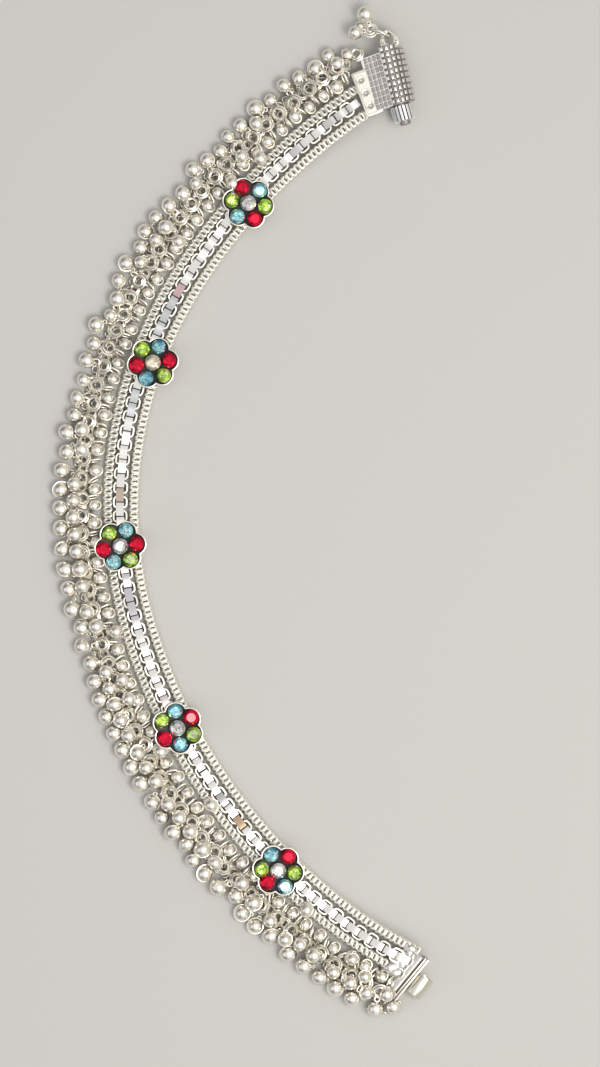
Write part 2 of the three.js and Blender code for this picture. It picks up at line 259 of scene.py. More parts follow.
def fit(piece, slot, material, *nodes, body="anklet"):
    """Gives a piece its finish and its body, and hides the solids that it stands for."""
    piece.data.materials.clear()
    piece.data.materials.append(material)
    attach(piece, body)
    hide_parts(*nodes)


PLATE_PITCH = 3.25
BOX_OUT = 4.6
BOX_START, BOX_END = 22.4, 265.8
BOX_MIDDLE, RIM_RISE = 1.42, 0.16
STRIP_EDGE = 0.06


def strip_loop(length, width, strip, corner, gauge):
    """A rounded square loop folded from flat strip, lying on its edge about the origin."""
    loop = new_piece(bpy.ops.mesh.primitive_plane_add, size=1.0)
    work_on(loop)
    bpy.ops.transform.resize(value=(length - gauge, width - gauge, 1.0))
    bpy.ops.transform.translate(value=(0.0, 0.0, -strip / 2))
    bpy.ops.mesh.bevel(affect="VERTICES", offset=corner - gauge / 2, segments=3)
    bpy.ops.mesh.delete(type="ONLY_FACE")
    bpy.ops.mesh.select_mode(type="EDGE")
    bpy.ops.mesh.select_all(action="SELECT")
    draw_out(0.0, 0.0, strip)
    let_go()
    add_modifier(loop, "SOLIDIFY", thickness=gauge, offset=0.0)
    soften(loop, STRIP_EDGE, segments=1)
    add_modifier(loop, "WELD", merge_threshold=0.0005)
    smooth(loop, 38.0)
    return loop


lie_flat = strip_loop(length=2.96, width=3.56, strip=1.8, corner=1.0, gauge=0.46)
on_edge = strip_loop(length=3.28, width=2.66, strip=1.9, corner=0.13, gauge=0.22)
on_edge.data.transform(swing(90, "X"))

sway = random.Random(11)
box_links = int((BOX_END - BOX_START) / PLATE_PITCH)
box_pitch = (BOX_END - BOX_START) / box_links
box_stops = [BOX_START + box_pitch * (i + 0.5) for i in range(box_links)]
plates = string("box_chain_plates", on_edge, [
    on_band(s, BOX_OUT, BOX_MIDDLE, [sway.gauss(0, lean) for lean in (0.035, 0.022, 0.01)])
    for s in box_stops
])
rims = string("box_chain_rims", lie_flat, [
    on_band(
        s + box_pitch / 2, BOX_OUT, BOX_MIDDLE + RIM_RISE,
        (sway.gauss(0, 0.03), sway.gauss(0, 0.03), 0.0),
    )
    for s in box_stops[:-1]
])
plate_silver = silver(
    "plate_silver", (0.95, 0.94, 0.92), (0.88, 0.87, 0.84), 0.16, 0.4,
    oxide_and_shade=(0.5, 0.48, 0.45), relief=0.05,
)
chain_silver = silver(
    "chain_silver", (1.0, 0.98, 0.91), (0.95, 0.925, 0.85), 0.37, 0.7, oxide_and_shade=(0.36, 0.34, 0.3)
)
fit(plates, "chain_silver", plate_silver, "box_chain")

# Painted reflections tint some plates: the stretches along the band, with their tints.
PLATE_PAINTED_REFLECTIONS = (
    {"from": 22, "to": 33, "tint": (0.76, 0.77, 0.78)},
    {"from": 40, "to": 42, "tint": (0.8, 0.78, 0.84)},
    {"from": 82, "to": 85, "tint": (0.78, 0.55, 0.6)},
    {"from": 85, "to": 96, "tint": (0.72, 0.73, 0.78)},
    {"from": 107, "to": 116, "tint": (0.72, 0.75, 0.8)},
    {"from": 131, "to": 135, "tint": (0.7, 0.58, 0.5)},
    {"from": 150, "to": 164, "tint": (0.74, 0.74, 0.8)},
    {"from": 180, "to": 182, "tint": (0.85, 0.76, 0.8)},
    {"from": 208, "to": 211, "tint": (0.62, 0.62, 0.65)},
    {"from": 212, "to": 215, "tint": (0.66, 0.49, 0.36)},
)
plate_painted_reflection = plates.data.attributes.new("plate_painted_reflection", "FLOAT_VECTOR", "FACE")
stop_spots = [on_band(s, BOX_OUT, BOX_MIDDLE).translation for s in box_stops]
for k, face in enumerate(plates.data.polygons):
    nearest = min(range(box_links), key=lambda i: (stop_spots[i] - face.center).length_squared)
    tints = [row["tint"] for row in PLATE_PAINTED_REFLECTIONS if row["from"] <= box_stops[nearest] < row["to"]]
    plate_painted_reflection.data[k].vector = tints[0] if tints else (1.0, 1.0, 1.0)
reflection_tree = plate_silver.node_tree
reflection_base = reflection_tree.nodes["Principled BSDF"].inputs["Base Color"]
reflection_tint = add_node(reflection_tree, "Attribute", attribute_name="plate_painted_reflection").outputs["Vector"]
bare_tone = reflection_base.links[0].from_socket
# The painted reflection tints multiply the plates' colour.
with_reflection = mixed(reflection_tree, 1.0, bare_tone, reflection_tint, blend_type="MULTIPLY")
reflection_tree.links.new(with_reflection, reflection_base)
fit(rims, "chain_silver", chain_silver, "box_chain")

# ---- Edge chains ----
# One woven chain along each side of the box chain. Its closed rings of thick wire are shingled
# over each other in two layers, so a row of small holes runs along the middle of each strand.

EDGE_PITCH = 1.3
EDGE_CHAINS = {
    "inner": {"out": 1.3, "start": 23.1, "end": 266.9, "roll": -0.1},
    "outer": {"out": 7.6, "start": 21.7, "end": 265.6, "roll": 0.12},
}
EDGE_LAYERS = (
    {"shift": 0.5, "up": 1.52, "tilt": -0.42},
    {"shift": 0.0, "up": 0.72, "tilt": 0.42},
)


def wire_ring(radius, straight, wire, around=12, sides=5):
    """A ring of round wire, drawn out along x by straight sides of the length given."""
    ring = new_piece(
        bpy.ops.mesh.primitive_torus_add, major_radius=radius, minor_radius=wire,
        major_segments=around, minor_segments=sides,
    )
    for way in (1.0, -1.0):
        work_on(ring, "VERT", lambda v: v.co.x * way > radius * 0.01)
        bpy.ops.transform.translate(value=(way * straight / 2, 0.0, 0.0))
    let_go()
    return ring


def edge_chain(name, chain):
    """One woven chain, its rings laid across the band in two layers."""
    model = wire_ring(radius=0.58, straight=0.6, wire=0.45, around=10, sides=6)
    model.data.transform(swing(90, "Z"))
    smooth(model, 80.0)
    count = int((chain["end"] - chain["start"]) / EDGE_PITCH)
    step = (chain["end"] - chain["start"]) / count
    play = random.Random(name)
    places = []
    for i in range(count):
        for layer in EDGE_LAYERS:
            s = chain["start"] + step * (i + layer["shift"])
            roll = chain["roll"] + play.gauss(0, 0.04)
            tilt = layer["tilt"] + play.gauss(0, 0.04)
            turn = (roll, tilt, play.gauss(0, 0.05))
            places.append(on_band(s, chain["out"], layer["up"], turn))
    return string(name, model, places)


for side, chain in EDGE_CHAINS.items():
    links = edge_chain(f"{side}_edge_chain_links", chain)
    fit(links, "chain_silver", chain_silver, f"{side}_edge_chain")

# ---- Small balls and their hangers ----
# Along the outer chain stands a row of small hollow balls, each stamped as two cups of thin
# sheet soldered along a seam and held by a wire ring. Drawn-out wire hangers lie between them.

STEMS = 61
FIRST_STEM = 24.2
STEM_PITCH = 3.96
SMALL_BALL_OUT = 10.9
SMALL_BALL_RADIUS = 1.5


def stem_at(i):
    """Distance along the band of a stem, or of a point between two stems."""
    return FIRST_STEM + STEM_PITCH * i


def both_ends(piece, test):
    """A test for the edges of a piece: both of an edge's ends have to pass the one given."""
    return lambda edge: all(test(piece.data.vertices[v].co) for v in edge.vertices)


def sphere(radius, around, rings):
    """A sphere about the origin."""
    return new_piece(
        bpy.ops.mesh.primitive_uv_sphere_add, segments=around, ring_count=rings, radius=radius
    )


def hollow_ball(radius, seam, flange, around=20, rings=10, shank=True):
    """A ball of two cups about the origin, their soldered flange round y and a shank at +z."""
    ball = sphere(radius, around, rings)
    work_on(ball, "EDGE", both_ends(ball, lambda co: abs(co.z) < radius * 0.02))
    bpy.ops.mesh.bevel(offset=seam, segments=1, affect="EDGES")
    bpy.ops.mesh.extrude_region_move()
    bpy.ops.transform.resize(value=(1.0 + flange / radius, 1.0 + flange / radius, 0.7))
    let_go()
    ball.data.transform(swing(90, "X"))
    smooth(ball, 50.0)
    if not shank:
        return ball
    loop = wire_ring(radius=0.42, straight=0.1, wire=0.17, around=8, sides=5)
    loop.data.transform(shift(0.0, 0.0, radius + 0.3) @ swing(90, "X"))
    smooth(loop, 80.0)
    return join("ball", [ball, loop])


def wire_coil(turns, radius, wire, rise, spread, around=14, sides=5):
    """Round wire wound about z, its turns drawn in from the bottom to the top by the spread."""
    coil = new_piece(
        bpy.ops.mesh.primitive_circle_add, vertices=sides, radius=wire, fill_type="NOTHING",
        location=(radius, 0.0, -rise / 2), rotation=(math.radians(90), 0.0, 0.0),
    )
    bpy.ops.object.transform_apply(location=True, rotation=True)
    steps = round(around * turns)
    add_modifier(
        coil, "SCREW", angle=math.radians(360 * turns), steps=steps, render_steps=steps,
        screw_offset=rise, use_merge_vertices=False,
    )
    for k, v in enumerate(coil.data.vertices):
        v.co += Vector((v.co.x, v.co.y, 0.0)).normalized() * spread * (0.5 - k // sides / steps)
    work_on(coil, "EDGE", lambda e: False)
    bpy.ops.mesh.select_non_manifold()
    bpy.ops.mesh.edge_face_add()
    face_outward()
    smooth(coil, 60.0)
    return coil


shake = random.Random(23)
small_places, collar_places = [], []
for i in range(STEMS):
    s = stem_at(i) + shake.gauss(0, 0.22)
    out = SMALL_BALL_OUT + shake.gauss(0, 0.18)
    size = shake.uniform(0.93, 1.08)
    up = SMALL_BALL_RADIUS * size + 0.25 + max(shake.gauss(0, 0.2), -0.2)
    turn = (shake.uniform(-1.1, 1.1), shake.uniform(-0.6, 0.6), shake.uniform(-3.1, 3.1))
    squat = size * shake.uniform(0.9, 1.02)
    small_places.append(on_band(s, out, up, turn, (size, size, squat)))
    turn = (shake.gauss(-0.25, 0.12), shake.gauss(0, 0.12), math.radians(90))
    collar_places.append(on_band(s, out - 0.5, up + 0.7, turn, (size, size, size)))
small_ball = hollow_ball(SMALL_BALL_RADIUS, 0.07, 0.1, 16, 8, shank=False)
small_balls = string("small_balls", small_ball, small_places)
collar = wire_ring(radius=1.18, straight=0.2, wire=0.22, around=14)
collars = string("small_ball_rings", collar, collar_places)
smooth(collars, 80.0)

# In each gap between two small balls one drawn-out loop goes down to a coil and a second one on
# to the bunches. The under rings lie flat beneath them all and join the coils to each other.
HANGERS = (
    {"shift": 0.1, "out": 11.2, "up": 1.8, "length": 1.45, "width": 0.95, "lie": 1.0},
    {"shift": -0.5, "out": 15.9, "up": 2.0, "length": 0.9, "width": 0.95, "lie": 0.5},
)
UNDER_RINGS = (
    {"shift": -1.0, "out": 12.0, "up": 0.6, "length": 1.0, "width": 1.2, "lie": 0.1},
    {"shift": 1.0, "out": 12.1, "up": 0.7, "length": 1.0, "width": 1.2, "lie": 0.0},
    {"shift": 0.0, "out": 13.7, "up": 0.6, "length": 1.0, "width": 1.3, "lie": 0.1},
    {"shift": -2.0, "out": 13.9, "up": 0.7, "length": 1.0, "width": 1.3, "lie": 0.0},
    {"shift": 1.0, "out": 15.5, "up": 0.6, "length": 1.0, "width": 1.3, "lie": 0.1},
    {"shift": -1.0, "out": 15.4, "up": 0.7, "length": 1.0, "width": 1.3, "lie": -0.1},
)


def ring_places(rows):
    """Where the drawn-out rings of some rows go, one of each row in every gap between stems."""
    places = []
    for i in range(-1, STEMS):
        for row in rows:
            s = stem_at(i + 0.5) + row["shift"] + shake.gauss(0, 0.15)
            roll, tilt = row["lie"] + shake.gauss(0.0, 0.15), shake.gauss(0.0, 0.12)
            turn = (roll, tilt, math.radians(90) + shake.gauss(0, 0.25))
            size = (row["length"], row["width"], row["width"])
            places.append(on_band(s, row["out"] + shake.gauss(0, 0.12), row["up"], turn, size))
    return places


hanger = wire_ring(radius=0.66, straight=0.5, wire=0.31, around=10)
hangers = string("fringe_hangers", hanger, ring_places(HANGERS))
smooth(hangers, 80.0)
ball_silver = silver(
    "ball_silver", (0.99, 0.955, 0.88), (0.92, 0.88, 0.79), 0.3, 0.9,
    oxide_and_shade=(0.2, 0.18, 0.15), grain=1500.0, relief=0.08,
)
wire_silver = silver(
    "wire_silver", (1.0, 0.965, 0.88), (0.93, 0.89, 0.79), 0.34, 0.5, oxide_and_shade=(0.28, 0.255, 0.2)
)
fit(small_balls, "ball_silver", ball_silver, "small_ball_row")
fit(hangers, "chain_silver", wire_silver, "small_ball_row")
fit(collars, "chain_silver", wire_silver, "small_ball_row")

# The under rings are painted dark: oxide that no polishing cloth reaches, and painted shade beneath
# the fringe.
under_silver = silver(
    "under_silver", (0.8, 0.77, 0.7), (0.58, 0.55, 0.49), 0.42, 1.1, oxide_and_shade=(0.07, 0.06, 0.045)
)
under_ring = wire_ring(radius=0.66, straight=0.4, wire=0.28, around=8)
under = string("fringe_under_rings", under_ring, ring_places(UNDER_RINGS))
smooth(under, 80.0)
fit(under, "ball_silver", under_silver, "ring_row")

# ---- Coils ----
# Outside the small balls lies a row of wire coils, like tiny split rings of two turns drawn in
# toward the top. A large one hangs in each gap with a smaller one beside it, and they carry the
# bunches of larger balls. One loose coil lies past the band's end, at the clasp.

COIL_OUT = 14.1
COILS = (
    {"shift": 0.5, "out": COIL_OUT, "up": 2.3, "size": 1.0},
    {"shift": 0.0, "out": COIL_OUT - 0.2, "up": 1.4, "size": 0.75},
)
coil_places = []
for i in range(-1, STEMS):
    for row in COILS:
        s = stem_at(i + row["shift"]) + shake.gauss(0, 0.25)
        turn = (shake.gauss(0, 0.16), shake.gauss(0, 0.14), shake.uniform(-3.1, 3.1))
        size = row["size"] * shake.uniform(1.06, 1.2)
        out, up = row["out"] + shake.gauss(0, 0.2), row["up"] + shake.uniform(0, 0.3)
        coil_places.append(on_band(s, out, up, turn, (size, size, size)))
coil_places.append(on_band(17.0, 14.7, 1.2, (0.35, -0.3, 1.0)))
coil = wire_coil(2.0, radius=1.3, wire=0.29, rise=0.8, spread=0.78)
coils = string("fringe_coils", coil, coil_places)
fit(coils, "ball_silver", wire_silver, "ring_row")

# ---- Bunches of balls ----
# Each coil carries a few larger hollow balls on wire shanks. They have fallen where they will:
# a thin row near the clasp and a crowded double row over the rest, some thrown up on the chains.

SECTIONS = 4
BALL_RADIUS, BALL_GAP = 1.8, 0.06
OUTER_LIMIT = 20.9
CREST_LIMIT = 6.9
BUNCHES = (
    {"to": 60, "outer": 17.8, "inner": 15.6, "share": 0.12, "radius": 1.88},
    {"to": 101, "outer": 18.0, "inner": 15.8, "share": 0.3, "radius": 1.92},
    {"to": 118, "outer": 17.9, "inner": 15.5, "share": 0.05, "radius": 1.86},
    {"to": 186, "outer": 18.4, "inner": 15.3, "share": 0.95, "radius": 1.97},
    {"to": 221, "outer": 18.7, "inner": 15.9, "share": 0.95, "radius": 1.97},
    {"to": 235, "outer": 18.3, "inner": 15.0, "share": 0.3, "radius": 2.05},
    {"to": 290, "outer": 18.6, "inner": 15.9, "share": 0.85, "radius": 1.95},
)


def bunch_at(i):
    """Balls of one bunch, as [along, out, up, radius] in millimetres."""
    s = stem_at(i + 0.4)
    row = next(row for row in BUNCHES if s < row["to"])
    stir = 0.15 + 0.45 * row["share"]
    s += shake.gauss(0, stir)
    radius = row["radius"] * shake.uniform(0.9, 1.07)
    balls = [[s, row["outer"] + shake.gauss(0, 0.15 + stir), radius + 0.1, radius]]
    if shake.random() < row["share"]:
        radius = row["radius"] * shake.uniform(0.85, 0.98)
        s, out = s + shake.gauss(0.3, 0.9), row["inner"] + shake.gauss(0, 0.15 + stir)
        balls.append([s, out, 3.2, radius])
    elif row["share"] > 0.2 and shake.random() < 0.25:
        radius = row["radius"] * shake.uniform(0.75, 0.88)
        s, out = s + 2.0 + shake.gauss(0, 0.3), row["outer"] - 0.6 + shake.gauss(0, 0.3)
        balls.append([s, out, 2.6, radius])
    return balls


# Balls thrown up on the chains, and one more ball at each end of the fringe.
STRAY_BALLS = (
    {"along": 48.0, "out": 8.9},
    {"along": 50.6, "out": 12.5},
    {"along": 56.4, "out": 9.6},
    {"along": 74.0, "out": 11.1},
    {"along": 162.9, "out": 9.8},
    {"along": 173.4, "out": 12.0},
    {"along": 177.9, "out": 12.3},
    {"along": 191.4, "out": 10.9},
    {"along": 207.6, "out": 7.5},
    {"along": 239.8, "out": 7.8},
    {"along": 254.5, "out": 10.8},
    {"along": 258.8, "out": 12.7},
)
STRAY_UP, STRAY_RADIUS = 3.9, 1.6
END_BALLS = (
    {"along": 20.2, "out": 15.7, "up": 2.0, "radius": 1.75},
    {"along": 267.2, "out": 16.0, "up": 2.0, "radius": 1.9},
)
strays = [[row["along"], row["out"], STRAY_UP, STRAY_RADIUS] for row in STRAY_BALLS]
loose = [ball for i in range(-1, STEMS) for ball in bunch_at(i)]
loose += [list(row.values()) for row in END_BALLS]

# The bunches rest against the strays, the small balls and the coils, which stay where they are.
fixed = [list(ball) for ball in strays]
fixed += [[stem_at(i), SMALL_BALL_OUT, 1.5, 1.4] for i in range(STEMS)]
fixed += [[stem_at(i + 0.5), COIL_OUT, 0.9, 1.2] for i in range(-1, STEMS)]
loose.sort()
fixed.sort()


def push(ball, other, share):
    """Moves a ball out of another one by a share of the depth of the cut."""
    gap = [ball[axis] - other[axis] for axis in range(3)]
    distance = math.sqrt(sum(g * g for g in gap)) or 0.01
    cut = ball[3] + other[3] + BALL_GAP - distance
    if cut > 0:
        for axis in range(3):
            ball[axis] += gap[axis] / distance * cut * share


def settle(loose, fixed, rounds=40):
    """Pushes balls apart for a set number of rounds, so they cut into each other less, and keeps
    them on the table and inside the fringe.
    """
    for _ in range(rounds):
        for k, ball in enumerate(loose):
            for other in loose[max(0, k - 12):k + 12]:
                if other is not ball:
                    push(ball, other, 0.5)
            for other in fixed:
                if abs(other[0] - ball[0]) < 4.0:
                    push(ball, other, 0.8)
            ball[2] = min(max(ball[2] - 0.05, ball[3] + 0.03), CREST_LIMIT - ball[3])
            ball[1] = min(ball[1], OUTER_LIMIT - ball[3])


settle(loose, fixed)


def hung(ball):
    """Where a ball model goes, its shank turned roughly toward the band."""
    s, out, up, radius = ball
    lean = min(max(shake.gauss(0.2, 0.3), -0.1), 0.7)
    turn = (math.radians(-90) + lean, shake.gauss(0, 0.55), shake.gauss(0, 0.6))
    size = radius / BALL_RADIUS
    tall = size * shake.uniform(0.96, 1.1)
    return on_band(s, out, up - 0.8 * lift_at(s), turn, (size, size, tall))


loose.sort()
share = len(loose) / SECTIONS
for k in range(SECTIONS):
    bunch = loose[round(share * k):round(share * (k + 1))]
    first, last = bunch[0][0], bunch[-1][0]
    bunch += [ball for ball in strays if first < ball[0] <= last]
    ball = hollow_ball(BALL_RADIUS, 0.08, 0.15)
    piece = string(f"ball_bunches_{k + 1}", ball, [hung(b) for b in bunch])
    fit(piece, "ball_silver", ball_silver, f"ball_fringe_{k + 1}")

# ---- Flower trays ----
# Five six-lobed trays pressed from silver sheet and riding on the three chains. The thin wall
# is rubbed bright and the floor is left black with oxide between the stones.

FLOWERS = (
    {"along": 57.4, "out": 3.6, "turn": 109.9, "stones": ("red", "blue", "green")},
    {"along": 101.0, "out": 2.8, "turn": 8.4, "stones": ("red", "green", "blue")},
    {"along": 144.3, "out": 4.9, "turn": 8.7, "stones": ("red", "green", "blue")},
    {"along": 188.5, "out": 4.6, "turn": 38.5, "stones": ("red", "green", "blue")},
    {"along": 228.9, "out": 5.4, "turn": 52.2, "stones": ("red", "green", "blue")},
)
TRAY_BASE, TRAY_HEIGHT, TRAY_FLOOR, TRAY_WALL = 3.0, 2.0, 0.5, 0.34
LOBE_CENTRE, LOBE_RADIUS = 3.5, 2.8


def flower_place(flower, up=TRAY_BASE):
    """Where the parts of a flower go, modelled in millimetres about its middle."""
    spot = beside_band(flower["along"], flower["out"], up)
    return Matrix.Translation(spot * MM) @ swing(flower["turn"], "Z") @ Matrix.Scale(MM, 4)


def scallop(angle):
    """Distance from a flower's middle to its six-lobed outline."""
    off = (angle + math.pi / 6) % (math.pi / 3) - math.pi / 6
    aside = LOBE_CENTRE * math.sin(off)
    return LOBE_CENTRE * math.cos(off) + math.sqrt(LOBE_RADIUS ** 2 - aside ** 2)


def disc(sides, radius=1.0, up=0.0):
    """A flat disc in one face, about z and at a height."""
    flat = new_piece(
        bpy.ops.mesh.primitive_circle_add, vertices=sides, radius=radius, fill_type="NGON",
        location=(0.0, 0.0, up),
    )
    bpy.ops.object.transform_apply(location=True)
    return flat


def build_up(*steps):
    """Extrudes what is selected: each step is a rise along z and a scale of the new outline."""
    for rise, scale in steps:
        bpy.ops.mesh.extrude_region_move(TRANSFORM_OT_translate={"value": (0.0, 0.0, rise)})
        bpy.ops.transform.resize(value=(scale, scale, 1.0))


def paint(piece, material, faces):
    """Gives some of a piece's faces another finish."""
    piece.data.materials.append(material)
    for face in faces:
        piece.data.polygons[face].material_index = len(piece.data.materials) - 1


def pressed_tray():
    """A six-lobed tray about z with its base at z = 0."""
    tray = disc(96)
    for v in tray.data.vertices:
        v.co *= scallop(math.atan2(v.co.y, v.co.x))
    work_on(tray)
    build_up((TRAY_HEIGHT, 1.0))
    bpy.ops.mesh.inset(thickness=TRAY_WALL)
    build_up((TRAY_FLOOR - TRAY_HEIGHT, 1.0))
    face_outward()
    soften(tray, 0.1, angle=55.0)
    smooth(tray, 40.0)
    return tray


tray_silver = silver("tray_silver", (0.87, 0.84, 0.78), (0.7, 0.66, 0.59), 0.26, 0.5)
black_oxide, oxide_tree, oxide_shader = new_finish("black_oxide")
oxide_spot = add_node(oxide_tree, "TexCoord").outputs["Object"]
oxide_grain = {"Vector": oxide_spot, "Scale": 2200.0}
oxide_crust = add_node(oxide_tree, "TexNoise", oxide_grain).outputs["Fac"]
oxide_tone = mixed(oxide_tree, oxide_crust, (0.006, 0.006, 0.007), (0.03, 0.028, 0.026))
oxide_tree.links.new(oxide_tone, oxide_shader.inputs["Base Color"])
oxide_relief = {"Strength": 0.4, "Distance": 0.04 * MM, "Height": oxide_crust}
oxide_bump = add_node(oxide_tree, "Bump", oxide_relief).outputs["Normal"]
oxide_tree.links.new(oxide_bump, oxide_shader.inputs["Normal"])
oxide_shader.inputs["Roughness"].default_value = 0.45

floor_from, floor_to = (TRAY_BASE + 0.1) * MM, (TRAY_BASE + TRAY_FLOOR + 0.2) * MM
for f, flower in enumerate(FLOWERS, start=1):
    tray = pressed_tray()
    tray.name = f"flower_tray_{f}"
    tray.data.transform(flower_place(flower))
    fit(tray, "tray_silver", tray_silver, f"flower_{f}")
    low = [face.index for face in tray.data.polygons if floor_from < face.center.z < floor_to]
    paint(tray, black_oxide, low)

# ---- Stones ----
# Round glass stones with cut crowns, each on bright foil that shines back through its facets, its
# shine painted into the facets' colours as painted reflections and flashes: six coloured ones round
# a clear one in every flower, held by the tray's black cement.

STONE_RING, STONE_SEAT, CLEAR_RISE, CLEAR_RADIUS = 4.08, 0.65, 0.15, 1.92
GIRDLE_AT, BACK_DEPTH, BACK_SCALE, TABLE_INSET = 1.2, 1.15, 0.3, 0.26
CROWN_STEPS = ((0.16, 1.0), (0.34, 0.8), (0.2, 0.74))
CROWN_FOOT, CROWN_WAIST = 1.6, 1.8
# Each colour's bright and deep tone; the painted facet reflections run between them.
STONE_COLOURS = {
    "red": ((1.0, 0.0, 0.05), (0.33, 0.0, 0.012)),
    "green": ((0.66, 0.94, 0.13), (0.02, 0.1, 0.003)),
    "blue": ((0.5, 0.97, 1.0), (0.01, 0.19, 0.33)),
    "clear": ((0.98, 0.98, 0.96), (0.14, 0.14, 0.15)),
    "aged": ((0.92, 0.86, 0.68), (0.34, 0.3, 0.21)),
}


def cut_stone(radius, facets=8):
    """A round stone with a table, a crown of three-cornered facets, a girdle and a plain back."""
    stone = disc(facets * 2, radius, GIRDLE_AT)
    work_on(stone)
    build_up(*CROWN_STEPS)
    bpy.ops.mesh.inset(thickness=radius * TABLE_INSET)
    bpy.ops.mesh.poke()
    let_go()
    half = math.pi / facets / 2
    for v in stone.data.vertices:
        reach = math.hypot(v.co.x, v.co.y)
        if v.co.z > CROWN_FOOT and reach > 0.01:
            once = v.co.z < CROWN_WAIST or reach < radius * 0.45
            v.co = Matrix.Rotation(half if once else 2 * half, 3, "Z") @ v.co
    low = GIRDLE_AT + 0.01
    work_on(stone, "FACE", lambda face: face.center.z < low and abs(face.normal.z) > 0.9)
    build_up((-BACK_DEPTH, BACK_SCALE))
    bpy.ops.mesh.select_all(action="SELECT")
    bpy.ops.mesh.quads_convert_to_tris()
    face_outward()
    return stone


FOIL_FINISH = {
    "Metallic": 0.85, "Roughness": 0.12,
    "Coat Weight": 0.45, "Coat Roughness": 0.02, "Coat IOR": 1.45,
}


def foil_glass(name, bright, deep):
    """Glass over foil: each facet has its own painted reflection tone and lean, and a few carry a
    painted flash nearly white.
    """
    material, tree, shader = new_finish(name)
    facet_painted_reflection = add_node(tree, "Attribute", attribute_name="facet_painted_reflection").outputs["Fac"]
    tilt = add_node(tree, "Attribute", attribute_name="tilt").outputs["Vector"]
    painted_flash = add_node(tree, "Attribute", attribute_name="painted_flash").outputs["Fac"]
    flat = add_node(tree, "NewGeometry").outputs["Normal"]
    lean = add_node(tree, "VectorMath", {0: flat, 1: tilt}, operation="ADD").outputs["Vector"]
    even = add_node(tree, "VectorMath", {0: lean}, operation="NORMALIZE").outputs["Vector"]
    tree.links.new(even, shader.inputs["Normal"])
    # Painted reflection: each facet's tone runs from deep to bright, and the painted flash mixes in
    # near white.
    lit = mixed(tree, painted_flash, mixed(tree, facet_painted_reflection, deep, bright), (0.98, 0.95, 0.95))
    tree.links.new(lit, shader.inputs["Base Color"])
    for setting, value in FOIL_FINISH.items():
        shader.inputs[setting].default_value = value
    return material


# The stones whose tables get a painted flash, and how strongly. Other facets get a painted flash
# here and there at random.
PAINTED_FLASHES = {
    "stone_4_red_1": 0.25, "stone_4_green_1": 0.3, "stone_1_blue_1": 0.15, "stone_3_green_1": 0.3,
}
glass = {name: foil_glass(f"{name}_glass", *tones) for name, tones in STONE_COLOURS.items()}
cutting = random.Random(5)


def set_stone(f, colour, number, place, radius):
    """Cuts a stone, gives its facets their painted reflection tones, leans and painted flashes, and
    sets it in its flower.
    """
    stone = cut_stone(radius)
    stone.name = f"stone_{f}_{colour}{number}"
    facet_reflection = stone.data.attributes.new("facet_painted_reflection", "FLOAT", "FACE")
    tilt = stone.data.attributes.new("tilt", "FLOAT_VECTOR", "FACE")
    painted_flash = stone.data.attributes.new("painted_flash", "FLOAT", "FACE")
    star = cutting.uniform(0.0, 6.0)
    glints = [[cutting.random() for _ in range(8)] for _ in range(3)]
    for k, face in enumerate(stone.data.polygons):
        x, y, _ = face.center / radius
        # Painted reflection: one side of each stone is painted lighter, each sector of each ring
        # gets a painted glint, and some facets a painted flash.
        side = 0.5 + 0.6 * (x * math.cos(star) + y * math.sin(star))
        ring = min(int(math.hypot(x, y) * 3.0), 2)
        glint = glints[ring][int(4.0 + 3.99 * math.atan2(y, x) / math.pi)]
        tone = 0.5 * side + 0.75 * glint + 0.16 * cutting.random() - 0.16
        facet_reflection.data[k].value = min(max(tone, 0.0), 1.0)
        tilt.data[k].vector = [cutting.uniform(-0.38, 0.38) for _ in range(3)]
        painted_spark = 0.75 if colour != "red" and cutting.random() < 0.1 else 0.0
        on_table = PAINTED_FLASHES.get(stone.name, 0.0) if face.normal.z > 0.97 else 0.0
        painted_flash.data[k].value = max(painted_spark, on_table)
    stone.data.transform(place)
    finish = glass["aged" if (f, colour) == (2, "clear") else colour]
    fit(stone, f"{colour}_stone", finish, f"flower_{f}_{colour}{number}")


def stone_lean():
    """A stone sits a little askew, turned any way."""
    lean = (cutting.gauss(0, 0.05), cutting.gauss(0, 0.05), cutting.uniform(0, 6.0))
    return Euler(lean).to_matrix().to_4x4()


for f, flower in enumerate(FLOWERS, start=1):
    middle = flower_place(flower, TRAY_BASE + STONE_SEAT)
    for i in range(6):
        angle = -math.radians(60 * i) + cutting.gauss(0, 0.02)
        ring = STONE_RING + cutting.gauss(0, 0.06)
        lean = stone_lean()
        spot = Vector((ring * math.cos(angle), ring * math.sin(angle), cutting.uniform(-0.05, 0.1)))
        place = middle @ Matrix.Translation(spot) @ lean
        number = 1 if i < 3 else 2
        set_stone(f, flower["stones"][i % 3], f"_{number}", place, cutting.uniform(1.76, 1.84))
    place = middle @ shift(0.0, 0.0, CLEAR_RISE) @ stone_lean()
    set_stone(f, "clear", "", place, CLEAR_RADIUS)

# ---- Clasp plate ----
# A thick flat plate that all three chains are soldered under, with a raised rim and three
# small six-petalled rosettes struck in low relief, a dark ring round the middle of each.

CLASP_AT = 21.6
PLATE_SPOT, PLATE_SIZE, PLATE_LEAN = (-2.1, -5.4, 3.2), (4.2, 11.1, 2.0), -12.5
PLATE_RIM, PLATE_STEP, PLATE_SINK = 0.32, 0.1, 0.12
ROSETTE_RADIUS, ROSETTE_PITCH, ROSETTE_SINK, ROSETTE_DARK = 1.15, 3.25, 0.14, 0.08
ROSETTE_STEPS = ((0.1, 1.0), (0.05, 0.93), (0.0, 0.86), (-0.09, 0.8), (0.0, 0.42), (0.1, 0.7))


def set_down(x, y, z, turn):
    """The frame of a part, moved and then turned about z."""
    return shift(x, y, z) @ swing(turn, "Z")


